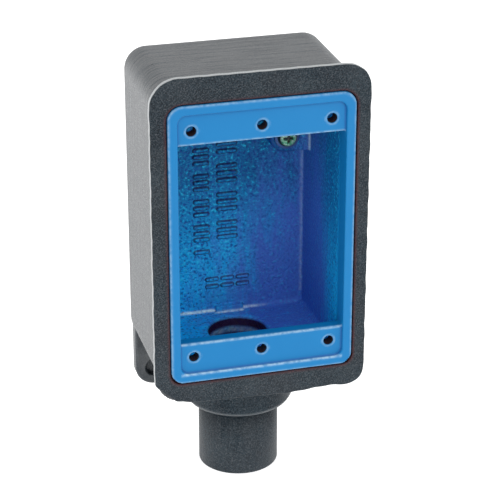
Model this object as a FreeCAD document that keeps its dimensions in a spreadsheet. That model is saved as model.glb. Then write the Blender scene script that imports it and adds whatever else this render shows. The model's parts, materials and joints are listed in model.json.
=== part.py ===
import FreeCAD, Part
import math
import os

import Sketcher

# Single-gang device box for threaded conduit: a cast box with a coated outside,
# a lined wiring space and one hub at its lower end. All lengths are in mm.
# X runs across the box, +Y into the wall behind it, +Z up along the box.
# The origin is the middle of the back mounting face, level with the opening's middle.
# "Depth" is measured forward from the back face, so depth d lies at y = -d.

DIMENSIONS = {
    "box_depth": (55.0, "back mounting face to the front of the rim"),
    "coat": (1.5, "vinyl coat on the outside of the casting"),
    "skin": (0.3, "urethane coat on the inside of the casting"),
    "body_wide": (69.4, "casting behind the flange, across"),
    "body_tall": (108.7, "casting behind the flange, along Z"),
    "body_corner": (6.5, "upright corners of the casting"),
    "back_round": (3.0, "edge round the casting's back"),
    "flange_wide": (71.4, "casting flange, 2 13/16 in"),
    "flange_tall": (115.9, "casting flange, 4 9/16 in"),
    "flange_corner": (7.6, "flange corners"),
    "flange_thick": (3.2, "flange, front to back"),
    "flange_drop": (1.8, "flange front behind the rim's front"),
    "lip_wide": (77.4, "vinyl lip, across"),
    "lip_tall": (121.6, "vinyl lip, along Z"),
    "lip_corner": (9.6, "vinyl lip corners"),
    "lip_thick": (2.4, "vinyl lip at its outer edge"),
    "lip_drop": (0.4, "lip front behind the rim's front"),
    "lip_edge": (0.6, "round on the lip's front outer edge"),
    "seam": (0.3, "gap between the lip's window and the rim"),
    "rim_wide": (65.3, "lined rim, across"),
    "rim_tall": (102.1, "lined rim, along Z"),
    "rim_corner": (5.3, "lined rim corners"),
    "cavity_wide": (58.4, "wiring space, across"),
    "cavity_tall": (99.2, "wiring space behind the ledges, along Z"),
    "cavity_corner": (3.0, "upright corners of the wiring space"),
    "cavity_edge": (1.6, "round where the wiring space meets its back wall"),
    "back_wall": (4.5, "back face to the floor of the wiring space"),
    "recess_tall": (95.4, "step inside the rim, along Z"),
    "recess_drop": (1.4, "ledge face behind the rim's front"),
    "mouth_tall": (73.0, "opening between the two ledges"),
    "ledge_thick": (5.0, "ledge, front to back"),
    "ledge_edge": (1.0, "round on the ledge's front edge"),
    "device_spacing": (83.34, "device screws, 3 9/32 in apart"),
    "cover_spacing": (48.72, "cover screws, across"),
    "ledge_hole": (1.75, "radius of the 6-32 holes in the ledges"),
    "boss_across": (20.3, "ground boss from the middle, along X"),
    "boss_up": (20.9, "ground boss from the middle, along Z"),
    "boss_radius": (6.3, "ground boss"),
    "boss_rise": (9.0, "ground boss above the back wall"),
    "foot_left": (4.4, "foot of the back wall, left end from the middle"),
    "foot_right": (6.2, "foot of the back wall, right end from the middle"),
    "foot_tall": (2.4, "foot of the back wall above the floor"),
    "foot_rise": (1.8, "foot of the back wall, forward of it"),
    "ground_hole": (2.45, "radius of the ground screw's hole"),
    "ground_hole_deep": (9.5, "ground screw's hole, from the boss face"),
    "hub_back": (21.0, "hub axis from the back face"),
    "hub_radius": (18.4, "casting hub"),
    "hub_end": (75.0, "mouth of the hub below the middle"),
    "hub_slope": (1.6, "height of the chamfer at the hub's mouth"),
    "hub_lip_wide": (3.4, "flat ring at the hub's mouth"),
    "thread_radius": (13.35, "hub bore at the major radius of 3/4 NPT"),
    "thread_long": (15.0, "hub bore, from its mouth to the conduit stop"),
    "thread_lead": (1.0, "chamfer at the mouth of the hub's thread"),
    "throat_radius": (10.8, "conduit stop between hub and wiring space"),
    "throat_flare": (1.3, "chamfer round the throat's inner end"),
    "collar_radius": (20.4, "vinyl collar where it meets the box"),
    "collar_taper": (0.4, "collar's loss of radius down its side"),
    "collar_bend": (74.1, "where the collar turns in, below the middle"),
    "collar_knee": (75.9, "lower knee of the collar, below the middle"),
    "collar_knee_radius": (18.9, "collar at its lower knee"),
    "collar_end": (77.0, "lower end of the collar, below the middle"),
    "collar_round": (1.2, "rounding of the collar's two knees"),
    "sleeve_bore": (13.65, "inside radius of the vinyl sleeve"),
    "sleeve_wall": (1.0, "vinyl sleeve, 40 mil"),
    "sleeve_end": (102.3, "lower end of the sleeve, below the middle"),
    "sleeve_edge": (0.35, "round on the sleeve's lower edges"),
    "lug_across": (27.9, "mounting lug from the middle, along X"),
    "lug_down": (69.3, "mounting lug below the middle"),
    "lug_radius": (5.6, "casting lug"),
    "lug_edge": (1.1, "round on the coated lug's front edges"),
    "lug_thick": (2.6, "casting lug, front to back"),
    "lug_hole": (3.3, "radius of the finished hole in the lug"),
    "lug_hole_coat": (1.0, "vinyl inside the lug's hole"),
    "washer_radius": (4.6, "ground washer"),
    "washer_thick": (0.8, "ground washer"),
    "washer_hole": (2.55, "radius of the hole in the ground washer"),
    "head_radius": (3.7, "ground screw's head"),
    "head_tall": (2.6, "ground screw's head"),
    "head_round": (1.1, "round on the ground screw's head"),
    "core_radius": (1.93, "ground screw under its thread"),
    "crest_radius": (2.4, "ground screw over its 10-32 thread"),
    "thread_pitch": (0.79375, "10-32 thread, 1/32 in"),
    "thread_sunk": (0.1, "thread's ridge inside the screw's core"),
    "shank_long": (9.4, "ground screw under its head"),
    "cross_long": (4.2, "cross recess, end to end"),
    "cross_wide": (1.05, "cross recess, one arm across"),
    "cross_deep": (1.5, "cross recess"),
}
RIDGE_ROOT_SHARE = 0.84
RIDGE_CREST_SHARE = 0.14
THREAD_LEAD_TURNS = 1.6
THREAD_PLAIN_TURNS = 3
TOLERANCE = 1e-4

doc = FreeCAD.newDocument("device_box")
sheet = doc.addObject("Spreadsheet::Sheet", "Dimensions")


def fill_sheet():
    for row, (alias, (number, note)) in enumerate(DIMENSIONS.items(), 1):
        sheet.set(f"A{row}", alias)
        sheet.set(f"B{row}", str(number))
        sheet.set(f"C{row}", note)
        sheet.setAlias(f"B{row}", alias)
    doc.recompute()


class Length:
    """A length that knows its value in mm and the sheet expression that it comes from."""

    def __init__(self, text, mm):
        self.text = text
        self.mm = mm

    def joined(self, sign, other, mm):
        text = other.text if isinstance(other, Length) else repr(other)
        return Length(f"({self.text} {sign} {text})", mm)

    def __add__(self, other):
        return self.joined("+", other, self.mm + in_mm(other))

    def __sub__(self, other):
        return self.joined("-", other, self.mm - in_mm(other))

    def __mul__(self, other):
        return self.joined("*", other, self.mm * in_mm(other))

    def __truediv__(self, other):
        return self.joined("/", other, self.mm / in_mm(other))


def in_mm(number):
    return number.mm if isinstance(number, Length) else number


class Sizes:
    """The sheet's cells by alias, each as a Length."""

    def __getattr__(self, alias):
        return Length(f"Dimensions.{alias}", float(sheet.get(alias)))


size = Sizes()
ZERO = Length("0", 0.0)


def bind(thing, prop, length):
    thing.setExpression(prop, length.text)


# Sketches


def new_body(name):
    return doc.addObject("PartDesign::Body", name)


def origin_feature(body, role):
    return next(f for f in body.Origin.OriginFeatures if f.Role == role)


def front_sketch(body, name, depth):
    """A sketch facing forward at a depth: its own x is X and its own y is Z."""
    sketch = body.newObject("Sketcher::SketchObject", name)
    sketch.AttachmentSupport = [(origin_feature(body, "XZ_Plane"), "")]
    sketch.MapMode = "FlatFace"
    bind(sketch, "AttachmentOffset.Base.z", depth)
    return sketch


def side_sketch(body, name, across, up):
    """A sketch facing along X through a line parallel to Y: its own x is Y and its own y is Z."""
    sketch = body.newObject("Sketcher::SketchObject", name)
    sketch.AttachmentSupport = [(origin_feature(body, "YZ_Plane"), "")]
    sketch.MapMode = "FlatFace"
    bind(sketch, "AttachmentOffset.Base.z", across)
    bind(sketch, "AttachmentOffset.Base.y", up)
    return sketch


def driven(sketch, name, length, kind, *where):
    """Adds a sized constraint and binds it to the sheet."""
    index = sketch.addConstraint(Sketcher.Constraint(kind, *where, length.mm))
    sketch.renameConstraint(index, name)
    bind(sketch, f"Constraints.{name}", length)


def rounded_rectangle(sketch, wide, tall, corner):
    """Four lines and four corner arcs, centred on the sketch's origin."""
    half_x = wide.mm / 2
    half_y = tall.mm / 2
    r = corner.mm
    ends = [(-1, -1), (1, -1), (1, 1), (-1, 1)]
    for i, (sx, sy) in enumerate(ends):
        nx, ny = ends[(i + 1) % 4]
        along = (abs(nx - sx) / 2, abs(ny - sy) / 2)
        start = FreeCAD.Vector(sx * (half_x - r * along[0]), sy * (half_y - r * along[1]))
        stop = FreeCAD.Vector(nx * (half_x - r * along[0]), ny * (half_y - r * along[1]))
        sketch.addGeometry(Part.LineSegment(start, stop))
    for i in range(4):
        cx, cy = ends[(i + 1) % 4]
        centre = FreeCAD.Vector(cx * (half_x - r), cy * (half_y - r))
        circle = Part.Circle(centre, FreeCAD.Vector(0, 0, 1), r)
        first = math.radians(-90 + 90 * i)
        sketch.addGeometry(Part.ArcOfCircle(circle, first, first + math.pi / 2))
    for i in range(4):
        sketch.addConstraint(Sketcher.Constraint("Tangent", i, 2, 4 + i, 1))
        sketch.addConstraint(Sketcher.Constraint("Tangent", 4 + i, 2, (i + 1) % 4, 1))
    for i in (0, 2):
        sketch.addConstraint(Sketcher.Constraint("Horizontal", i))
        sketch.addConstraint(Sketcher.Constraint("Vertical", i + 1))
    for i in (5, 6):
        sketch.addConstraint(Sketcher.Constraint("Equal", 4, i))
    sketch.addConstraint(Sketcher.Constraint("Symmetric", 4, 3, 6, 3, -1, 1))
    driven(sketch, "wide", wide, "DistanceX", 3, 1, 1, 1)
    driven(sketch, "tall", tall, "DistanceY", 0, 1, 2, 1)
    driven(sketch, "corner", corner, "Radius", 4)


def circle(sketch, name, across, up, radius):
    centre = FreeCAD.Vector(across.mm, up.mm)
    index = sketch.addGeometry(Part.Circle(centre, FreeCAD.Vector(0, 0, 1), radius.mm))
    driven(sketch, f"{name}_across", across, "DistanceX", -1, 1, index, 3)
    driven(sketch, f"{name}_up", up, "DistanceY", -1, 1, index, 3)
    driven(sketch, f"{name}_radius", radius, "Radius", index)


def polygon(sketch, corners):
    """Straight lines round a list of (x, y) corners, each placed from the sketch's origin."""
    points = [FreeCAD.Vector(x.mm, y.mm) for x, y in corners]
    count = len(points)
    for i in range(count):
        sketch.addGeometry(Part.LineSegment(points[i], points[(i + 1) % count]))
    for i in range(count):
        sketch.addConstraint(Sketcher.Constraint("Coincident", i, 2, (i + 1) % count, 1))
    for i, (x, y) in enumerate(corners):
        driven(sketch, f"x{i}", x, "DistanceX", -1, 1, i, 1)
        driven(sketch, f"y{i}", y, "DistanceY", -1, 1, i, 1)


def rectangle(sketch, wide, tall):
    """Sharp-cornered, centred on the sketch's origin."""
    x = wide / 2
    y = tall / 2
    polygon(sketch, [(ZERO - x, ZERO - y), (x, ZERO - y), (x, y), (ZERO - x, y)])


def tongue(sketch, across, up, radius, reach, turn):
    """A half disc whose two straight sides run out to a reach: turn 0 points the sides
    along +X from the disc, and turn 90 points them along +Z."""
    upward = turn == 90
    centre = FreeCAD.Vector(across.mm, up.mm)
    first = math.pi if upward else math.pi / 2
    disc = Part.Circle(centre, FreeCAD.Vector(0, 0, 1), radius.mm)
    sketch.addGeometry(Part.ArcOfCircle(disc, first, first + math.pi))
    if upward:
        tips = [
            FreeCAD.Vector(across.mm + radius.mm, reach.mm),
            FreeCAD.Vector(across.mm - radius.mm, reach.mm),
        ]
    else:
        tips = [
            FreeCAD.Vector(reach.mm, up.mm - radius.mm),
            FreeCAD.Vector(reach.mm, up.mm + radius.mm),
        ]
    arc = sketch.Geometry[0]
    sketch.addGeometry(Part.LineSegment(arc.EndPoint, tips[0]))
    sketch.addGeometry(Part.LineSegment(tips[0], tips[1]))
    sketch.addGeometry(Part.LineSegment(tips[1], arc.StartPoint))
    side, end = ("Vertical", "Horizontal") if upward else ("Horizontal", "Vertical")
    sketch.addConstraint(Sketcher.Constraint("Tangent", 0, 2, 1, 1))
    sketch.addConstraint(Sketcher.Constraint("Coincident", 1, 2, 2, 1))
    sketch.addConstraint(Sketcher.Constraint("Coincident", 2, 2, 3, 1))
    sketch.addConstraint(Sketcher.Constraint("Tangent", 3, 2, 0, 1))
    sketch.addConstraint(Sketcher.Constraint(side, 1))
    sketch.addConstraint(Sketcher.Constraint(end, 2))
    driven(sketch, "across", across, "DistanceX", -1, 1, 0, 3)
    driven(sketch, "up", up, "DistanceY", -1, 1, 0, 3)
    driven(sketch, "radius", radius, "Radius", 0)
    driven(sketch, "reach", reach, "DistanceY" if upward else "DistanceX", -1, 1, 2, 1)


# Features


def volume_of(body):
    doc.recompute()
    return body.Shape.Volume


def pad(body, name, sketch, length):
    """Material from the sketch forward (or along its own normal) by a length."""
    feature = body.newObject("PartDesign::Pad", name)
    feature.Profile = sketch
    bind(feature, "Length", length)
    doc.recompute()
    return feature


def pocket(body, name, sketch, length, forward=False):
    """Cuts from the sketch towards the back by a length, or forward."""
    before = volume_of(body)
    feature = body.newObject("PartDesign::Pocket", name)
    feature.Profile = sketch
    feature.Reversed = forward
    bind(feature, "Length", length)
    if volume_of(body) > before - TOLERANCE:
        raise ValueError(f"{name} cuts nothing")
    return feature


def revolve(body, name, sketch, axis, cut=False):
    before = 0.0 if not cut else volume_of(body)
    kind = "PartDesign::Groove" if cut else "PartDesign::Revolution"
    feature = body.newObject(kind, name)
    feature.Profile = sketch
    feature.ReferenceAxis = (sketch, [axis])
    feature.Angle = 360
    if cut and volume_of(body) > before - TOLERANCE:
        raise ValueError(f"{name} cuts nothing")
    doc.recompute()
    return feature


def round_edges(body, name, radius, test):
    """Rounds the edges of the body's last feature that pass a test."""
    doc.recompute()
    base = body.Tip
    chosen = [f"Edge{i}" for i, edge in enumerate(base.Shape.Edges, 1) if test(edge)]
    if not chosen:
        raise ValueError(f"{name} finds no edge")
    feature = body.newObject("PartDesign::Fillet", name)
    feature.Base = (base, chosen)
    bind(feature, "Radius", radius)
    doc.recompute()
    return feature


def mirror(body, name, originals, role):
    feature = body.newObject("PartDesign::Mirrored", name)
    feature.Originals = originals
    feature.MirrorPlane = (origin_feature(body, role), [""])
    body.Tip = feature
    doc.recompute()
    return feature


def at_depth(depth):
    """A test for edges that lie flat at a depth."""
    y = -depth.mm

    def test(edge):
        box = edge.BoundBox
        return abs(box.YMin - y) < TOLERANCE and abs(box.YMax - y) < TOLERANCE

    return test


def ring_at(axis, position, radius):
    """A test for whole circles of a radius, square to an axis at a position along it."""

    def test(edge):
        if not isinstance(edge.Curve, Part.Circle):
            return False
        place = getattr(edge.Curve.Center, axis)
        return abs(place - position) < TOLERANCE and abs(edge.Curve.Radius - radius) < TOLERANCE

    return test


def cut(name, base, tool):
    feature = doc.addObject("Part::Cut", name)
    feature.Base = base
    feature.Tool = tool
    doc.recompute()
    return feature


# Shapes that the casting and its coats share


def shell_solid(name, grow, flange_front):
    """The casting's outside grown by a coat: body, flange and the two lugs."""
    body = new_body(name)
    back = size.coat - grow
    flange_back = size.box_depth - size.flange_drop - size.flange_thick - grow

    outline = front_sketch(body, f"{name}_outline", back)
    rounded_rectangle(
        outline,
        size.body_wide + grow * 2,
        size.body_tall + grow * 2,
        size.body_corner + grow,
    )
    pad(body, f"{name}_walls", outline, flange_front - back)
    round_edges(body, f"{name}_back_round", size.back_round + grow, at_depth(back))

    flange = front_sketch(body, f"{name}_flange_outline", flange_back)
    rounded_rectangle(
        flange,
        size.flange_wide + grow * 2,
        size.flange_tall + grow * 2,
        size.flange_corner + grow,
    )
    pad(body, f"{name}_flange", flange, flange_front - flange_back)

    lug = front_sketch(body, f"{name}_lug_outline", back)
    reach = ZERO - size.body_tall / 2 + size.body_corner
    tongue(lug, size.lug_across, ZERO - size.lug_down, size.lug_radius + grow, reach, 90)
    plate = pad(body, f"{name}_lug", lug, size.lug_thick + grow * 2)
    mirror(body, f"{name}_lug_pair", [plate], "YZ_Plane")
    if grow.mm > 0:
        in_front = at_depth(size.lug_thick + size.coat * 2)
        round_edges(body, f"{name}_lug_edge", size.lug_edge, in_front)
    return body


def drill_lugs(body, name, radius):
    """One hole through each lug."""
    hole = front_sketch(body, f"{name}_outline", size.coat * 2 + size.lug_thick)
    circle(hole, "hole", size.lug_across, ZERO - size.lug_down, radius)
    single = pocket(body, name, hole, size.coat * 2 + size.lug_thick)
    mirror(body, f"{name}_pair", [single], "YZ_Plane")


def cavity_void(name, grow):
    """The wiring space as a solid, grown outward by the skin that lies between it and the iron."""
    body = new_body(name)
    floor = size.back_wall - grow
    ledge_front = size.box_depth - size.recess_drop - grow
    ledge_back = size.box_depth - size.recess_drop - size.ledge_thick + grow
    wide = size.cavity_wide + grow * 2
    corner = size.cavity_corner + grow

    deep = front_sketch(body, f"{name}_deep_outline", floor)
    rounded_rectangle(deep, wide, size.cavity_tall + grow * 2, corner)
    pad(body, f"{name}_deep", deep, ledge_back - floor)
    round_edges(body, f"{name}_deep_edge", size.cavity_edge, at_depth(floor))

    mouth = front_sketch(body, f"{name}_mouth_outline", ledge_back)
    rectangle(mouth, wide, size.mouth_tall + grow * 2)
    pad(body, f"{name}_mouth", mouth, size.box_depth - ledge_back)

    recess = front_sketch(body, f"{name}_recess_outline", ledge_front)
    rounded_rectangle(recess, wide, size.recess_tall + grow * 2, corner)
    pad(body, f"{name}_recess", recess, size.box_depth - ledge_front)

    half_mouth = size.mouth_tall.mm / 2 + grow.mm
    in_front = at_depth(ledge_front)
    round_edges(
        body,
        f"{name}_ledge_edge",
        size.ledge_edge,
        lambda e: in_front(e)
        and e.Length > size.cavity_wide.mm / 2
        and abs(abs(e.CenterOfMass.z) - half_mouth) < TOLERANCE,
    )

    boss_face = size.back_wall + size.boss_rise - grow
    boss = front_sketch(body, f"{name}_boss_outline", boss_face)
    reach = size.cavity_wide / 2 + size.cavity_corner
    tongue(boss, size.boss_across, size.boss_up, size.boss_radius - grow, reach, 0)
    pocket(body, f"{name}_boss", boss, size.boss_rise + size.cavity_corner)

    foot = front_sketch(body, f"{name}_foot_outline", size.back_wall + size.foot_rise - grow)
    left = ZERO - size.foot_left + grow
    right = size.foot_right - grow
    top = size.foot_tall - size.cavity_tall / 2 - grow
    bottom = ZERO - size.cavity_tall / 2 - size.cavity_corner
    polygon(foot, [(left, bottom), (right, bottom), (right, top), (left, top)])
    pocket(body, f"{name}_foot", foot, size.foot_rise + size.cavity_corner)
    return body


# Tools for holes


def cylinder(name, radius, long, x, y, z):
    """A drill that runs forward from its back end at (x, y, z)."""
    drill = doc.addObject("Part::Cylinder", name)
    drill.Placement.Rotation = FreeCAD.Rotation(FreeCAD.Vector(1, 0, 0), 90)
    bind(drill, "Radius", radius)
    bind(drill, "Height", long)
    bind(drill, "Placement.Base.x", x)
    bind(drill, "Placement.Base.y", y)
    bind(drill, "Placement.Base.z", z)
    return drill


def join(name, shapes):
    feature = doc.addObject("Part::MultiFuse", name)
    feature.Shapes = shapes
    doc.recompute()
    return feature


def ledge_drills():
    """Three screw holes through each of the two ledges."""
    overrun = size.ledge_thick / 2
    long = size.ledge_thick + overrun * 2
    y = ZERO - (size.box_depth - size.recess_drop - size.ledge_thick - overrun)
    rows = {"upper": size.device_spacing / 2, "lower": ZERO - size.device_spacing / 2}
    columns = {"left": ZERO - size.cover_spacing / 2, "middle": ZERO, "right": size.cover_spacing / 2}
    drills = []
    for row, z in rows.items():
        for column, x in columns.items():
            name = f"ledge_drill_{row}_{column}"
            drills.append(cylinder(name, size.ledge_hole, long, x, y, z))
    return join("ledge_drills", drills)


def ground_drill():
    """The blind hole that the ground screw's thread runs in."""
    overrun = size.ground_hole_deep / 2
    long = size.ground_hole_deep + overrun
    y = ZERO - (size.back_wall + size.boss_rise - size.ground_hole_deep)
    return cylinder("ground_drill", size.ground_hole, long, size.boss_across, y, size.boss_up)


def thread_drill():
    """The hub's threaded bore, chamfered at its mouth."""
    body = new_body("hub_thread_drill")
    profile = front_sketch(body, "hub_thread_profile", size.hub_back)
    mouth = ZERO - size.hub_end
    stop = mouth + size.thread_long
    wide = size.thread_radius + size.thread_lead
    radius = size.thread_radius
    polygon(
        profile,
        [(ZERO, mouth), (wide, mouth), (radius, mouth + size.thread_lead), (radius, stop), (ZERO, stop)],
    )
    revolve(body, "hub_thread_turned", profile, "V_Axis")
    return body


def throat_drill(name, radius):
    """The conduit's way from the hub's thread into the wiring space, flared at its inner end."""
    body = new_body(name)
    profile = front_sketch(body, f"{name}_profile", size.hub_back)
    bottom = ZERO - size.hub_end + size.thread_long
    floor = ZERO - size.cavity_tall / 2
    wide = radius + size.throat_flare
    polygon(
        profile,
        [
            (ZERO, bottom),
            (radius, bottom),
            (radius, floor - size.throat_flare),
            (wide, floor),
            (wide, floor + size.cavity_edge),
            (ZERO, floor + size.cavity_edge),
        ],
    )
    revolve(body, f"{name}_turned", profile, "V_Axis")
    return body


# The pieces


def casting_outside():
    """The iron without its bores: shell, rim and hub."""
    flange_front = size.box_depth - size.flange_drop
    body = shell_solid("casting_outside", ZERO, flange_front)
    drill_lugs(body, "casting_lug_hole", size.lug_hole + size.lug_hole_coat)

    rim = front_sketch(body, "cast_rim_outline", flange_front)
    rounded_rectangle(
        rim,
        size.rim_wide - size.skin * 2,
        size.rim_tall - size.skin * 2,
        size.rim_corner - size.skin,
    )
    pad(body, "cast_rim", rim, size.flange_drop - size.skin)

    hub = front_sketch(body, "hub_profile", size.hub_back)
    top = ZERO - size.body_tall / 2 + size.body_corner
    shoulder = ZERO - size.hub_end + size.hub_slope
    mouth = ZERO - size.hub_end
    ring = size.thread_radius + size.hub_lip_wide
    wide = size.hub_radius
    polygon(hub, [(ZERO, mouth), (ring, mouth), (wide, shoulder), (wide, top), (ZERO, top)])
    revolve(body, "hub", hub, "V_Axis")
    return body


def box_casting(outside, void, drills):
    throat = throat_drill("cast_throat_drill", size.throat_radius + size.skin)
    tools = join("casting_tools", [void, thread_drill(), throat, *drills])
    return cut("box_casting", outside, tools)


def body_jacket(casting):
    """Vinyl over the sides, back, flange edge and lugs of the casting."""
    lip_back = size.box_depth - size.lip_drop - size.lip_thick
    outside = shell_solid("jacket_outside", size.coat, lip_back)
    drill_lugs(outside, "jacket_lug_hole", size.lug_hole)
    return cut("body_jacket", outside, casting)


def face_lip():
    """The flat vinyl frame round the rim, which overhangs the flange."""
    body = new_body("face_lip")
    lip_back = size.box_depth - size.lip_drop - size.lip_thick
    outline = front_sketch(body, "lip_outline", lip_back)
    rounded_rectangle(outline, size.lip_wide, size.lip_tall, size.lip_corner)
    pad(body, "lip_plate", outline, size.lip_thick)
    round_edges(body, "lip_round", size.lip_edge, at_depth(lip_back + size.lip_thick))

    window = front_sketch(body, "lip_window_outline", lip_back + size.lip_thick)
    rounded_rectangle(
        window,
        size.rim_wide + size.seam * 2,
        size.rim_tall + size.seam * 2,
        size.rim_corner + size.seam,
    )
    pocket(body, "lip_window", window, size.lip_thick)

    seat = front_sketch(body, "lip_seat_outline", lip_back)
    rounded_rectangle(seat, size.flange_wide, size.flange_tall, size.flange_corner)
    pocket(body, "lip_seat", seat, size.box_depth - size.flange_drop - lip_back, forward=True)
    return body


def cavity_lining(casting, void, drills):
    """Urethane over the rim, ledges, wiring space and throat."""
    rim = new_body("rim_cap")
    flange_front = size.box_depth - size.flange_drop
    outline = front_sketch(rim, "rim_cap_outline", flange_front)
    rounded_rectangle(outline, size.rim_wide, size.rim_tall, size.rim_corner)
    pad(rim, "rim_cap_plate", outline, size.flange_drop)
    cap = cut("rim_cap_shell", rim, casting)

    throat = throat_drill("lining_throat", size.throat_radius + size.skin)
    filled = join("lining_filled", [void, cap, throat])
    clear = cavity_void("clear_void", ZERO)
    way = throat_drill("throat_drill", size.throat_radius)
    emptied = join("lining_emptied", [clear, way, *drills])
    return cut("cavity_lining", filled, emptied)


def hub_collar():
    """Vinyl bowl over the cast hub, turned in under its mouth to meet the sleeve."""
    body = new_body("hub_collar")
    profile = front_sketch(body, "collar_profile", size.hub_back)
    top = ZERO - size.body_tall / 2 - size.coat
    shoulder = ZERO - size.hub_end + size.hub_slope
    mouth = ZERO - size.hub_end
    end = ZERO - size.collar_end
    sleeve = size.sleeve_bore + size.sleeve_wall
    polygon(
        profile,
        [
            (size.hub_radius, top),
            (size.hub_radius, shoulder),
            (size.thread_radius + size.hub_lip_wide, mouth),
            (sleeve, mouth),
            (sleeve, end),
            (size.collar_knee_radius, ZERO - size.collar_knee),
            (size.collar_radius - size.collar_taper, ZERO - size.collar_bend),
            (size.collar_radius, top),
        ],
    )
    revolve(body, "collar_bowl", profile, "V_Axis")
    knees = [
        ring_at("z", -size.collar_knee.mm, size.collar_knee_radius.mm),
        ring_at("z", -size.collar_bend.mm, size.collar_radius.mm - size.collar_taper.mm),
    ]
    round_edges(body, "collar_rounds", size.collar_round, lambda e: any(k(e) for k in knees))
    return body


def hub_sleeve():
    """Plain vinyl tube below the hub that seals on the conduit."""
    body = new_body("hub_sleeve")
    profile = front_sketch(body, "sleeve_profile", size.hub_back)
    inner = size.sleeve_bore
    outer = size.sleeve_bore + size.sleeve_wall
    top = ZERO - size.hub_end
    end = ZERO - size.sleeve_end
    polygon(profile, [(inner, top), (inner, end), (outer, end), (outer, top)])
    revolve(body, "sleeve_tube", profile, "V_Axis")
    rims = [ring_at("z", end.mm, inner.mm), ring_at("z", end.mm, outer.mm)]
    round_edges(body, "sleeve_rounds", size.sleeve_edge, lambda e: any(r(e) for r in rims))
    return body


def ground_washer():
    body = new_body("ground_washer")
    face = size.back_wall + size.boss_rise
    ring = front_sketch(body, "washer_outline", face)
    circle(ring, "outside", size.boss_across, size.boss_up, size.washer_radius)
    circle(ring, "hole", size.boss_across, size.boss_up, size.washer_hole)
    pad(body, "washer_ring", ring, size.washer_thick)
    return body


def ground_screw():
    """Round-headed screw with a cross recess and a real right-hand thread."""
    body = new_body("ground_screw")
    seat = size.back_wall + size.boss_rise + size.washer_thick
    front = seat + size.head_tall
    tip = seat - size.shank_long
    core = size.core_radius
    profile = side_sketch(body, "screw_profile", size.boss_across, size.boss_up)
    polygon(
        profile,
        [
            (ZERO - front, ZERO),
            (ZERO - front, size.head_radius),
            (ZERO - seat, size.head_radius),
            (ZERO - seat, core),
            (ZERO - tip - size.thread_pitch, core),
            (ZERO - tip, core / 2),
            (ZERO - tip, ZERO),
        ],
    )
    revolve(body, "screw_turned", profile, "H_Axis")
    head_front = ring_at("y", -front.mm, size.head_radius.mm)
    round_edges(body, "head_round", size.head_round, head_front)

    cross = front_sketch(body, "cross_outline", front)
    bind(cross, "AttachmentOffset.Base.x", size.boss_across)
    bind(cross, "AttachmentOffset.Base.y", size.boss_up)
    long = size.cross_long / 2
    wide = size.cross_wide / 2
    quarter = [(long, ZERO - wide), (long, wide), (wide, wide)]
    corners = []
    for turn in range(4):
        corners.extend(quarter)
        quarter = [(ZERO - y, x) for x, y in quarter]
    polygon(cross, corners)
    pocket(body, "cross_recess", cross, size.cross_deep)

    # The ridge is a trapezium that starts a little inside the core, so that the two join.
    ridge = side_sketch(body, "ridge_profile", size.boss_across, size.boss_up)
    pitch = size.thread_pitch
    root = core - size.thread_sunk
    root_half = pitch * RIDGE_ROOT_SHARE / 2
    crest_half = pitch * RIDGE_CREST_SHARE / 2
    first = ZERO - tip - pitch * THREAD_LEAD_TURNS
    polygon(
        ridge,
        [
            (first - root_half, root),
            (first + root_half, root),
            (first + crest_half, size.crest_radius),
            (first - crest_half, size.crest_radius),
        ],
    )
    thread = body.newObject("PartDesign::AdditiveHelix", "thread")
    thread.Profile = ridge
    thread.ReferenceAxis = (ridge, ["H_Axis"])
    thread.Mode = "pitch-height-angle"
    bind(thread, "Pitch", pitch)
    bind(thread, "Height", size.shank_long - size.washer_thick - pitch * THREAD_PLAIN_TURNS)
    thread.Reversed = True
    doc.recompute()
    return body


# Building and writing


def check_document():
    for feature in doc.Objects:
        if "Invalid" in feature.State or "Error" in feature.State:
            raise ValueError(f"{feature.Name} failed: {feature.State}")


def check_piece(piece):
    shape = piece.Shape
    if shape.isNull() or not shape.isValid():
        raise ValueError(f"{piece.Label} has no valid shape")
    if not shape.Solids:
        raise ValueError(f"{piece.Label} has no solid")


def build():
    fill_sheet()
    drills = [ledge_drills(), ground_drill()]
    void = cavity_void("iron_void", size.skin)
    outside = casting_outside()
    casting = box_casting(outside, void, drills)
    pieces = [
        casting,
        body_jacket(outside),
        face_lip(),
        cavity_lining(casting, void, drills),
        hub_collar(),
        hub_sleeve(),
        ground_washer(),
        ground_screw(),
    ]
    doc.recompute()
    check_document()
    os.makedirs("parts", exist_ok=True)
    for piece in pieces:
        check_piece(piece)
    for piece in pieces:
        piece.Shape.exportStep(f"parts/{piece.Label}.step")
        box = piece.Shape.optimalBoundingBox()
        print(f"{piece.Label}: {len(piece.Shape.Solids)} solid, {piece.Shape.Volume:.1f} mm3, {box}")


build()
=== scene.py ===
import json
import math

import bpy
import numpy as np
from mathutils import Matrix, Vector


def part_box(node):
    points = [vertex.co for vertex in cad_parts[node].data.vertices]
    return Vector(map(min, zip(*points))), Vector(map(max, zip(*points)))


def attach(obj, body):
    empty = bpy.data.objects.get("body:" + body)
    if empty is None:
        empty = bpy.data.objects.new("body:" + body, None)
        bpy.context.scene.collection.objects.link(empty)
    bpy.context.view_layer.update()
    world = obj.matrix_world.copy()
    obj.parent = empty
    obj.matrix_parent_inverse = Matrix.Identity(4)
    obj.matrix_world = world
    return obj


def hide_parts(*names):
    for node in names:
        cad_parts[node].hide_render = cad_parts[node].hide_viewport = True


# A coated device box on a pale floor. The frame's pieces are in metres. The shapes here are
# worked out in mm and turned into metres when they become meshes. X is across, +Y is
# towards the wall behind the box, and Z is up.

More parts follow.
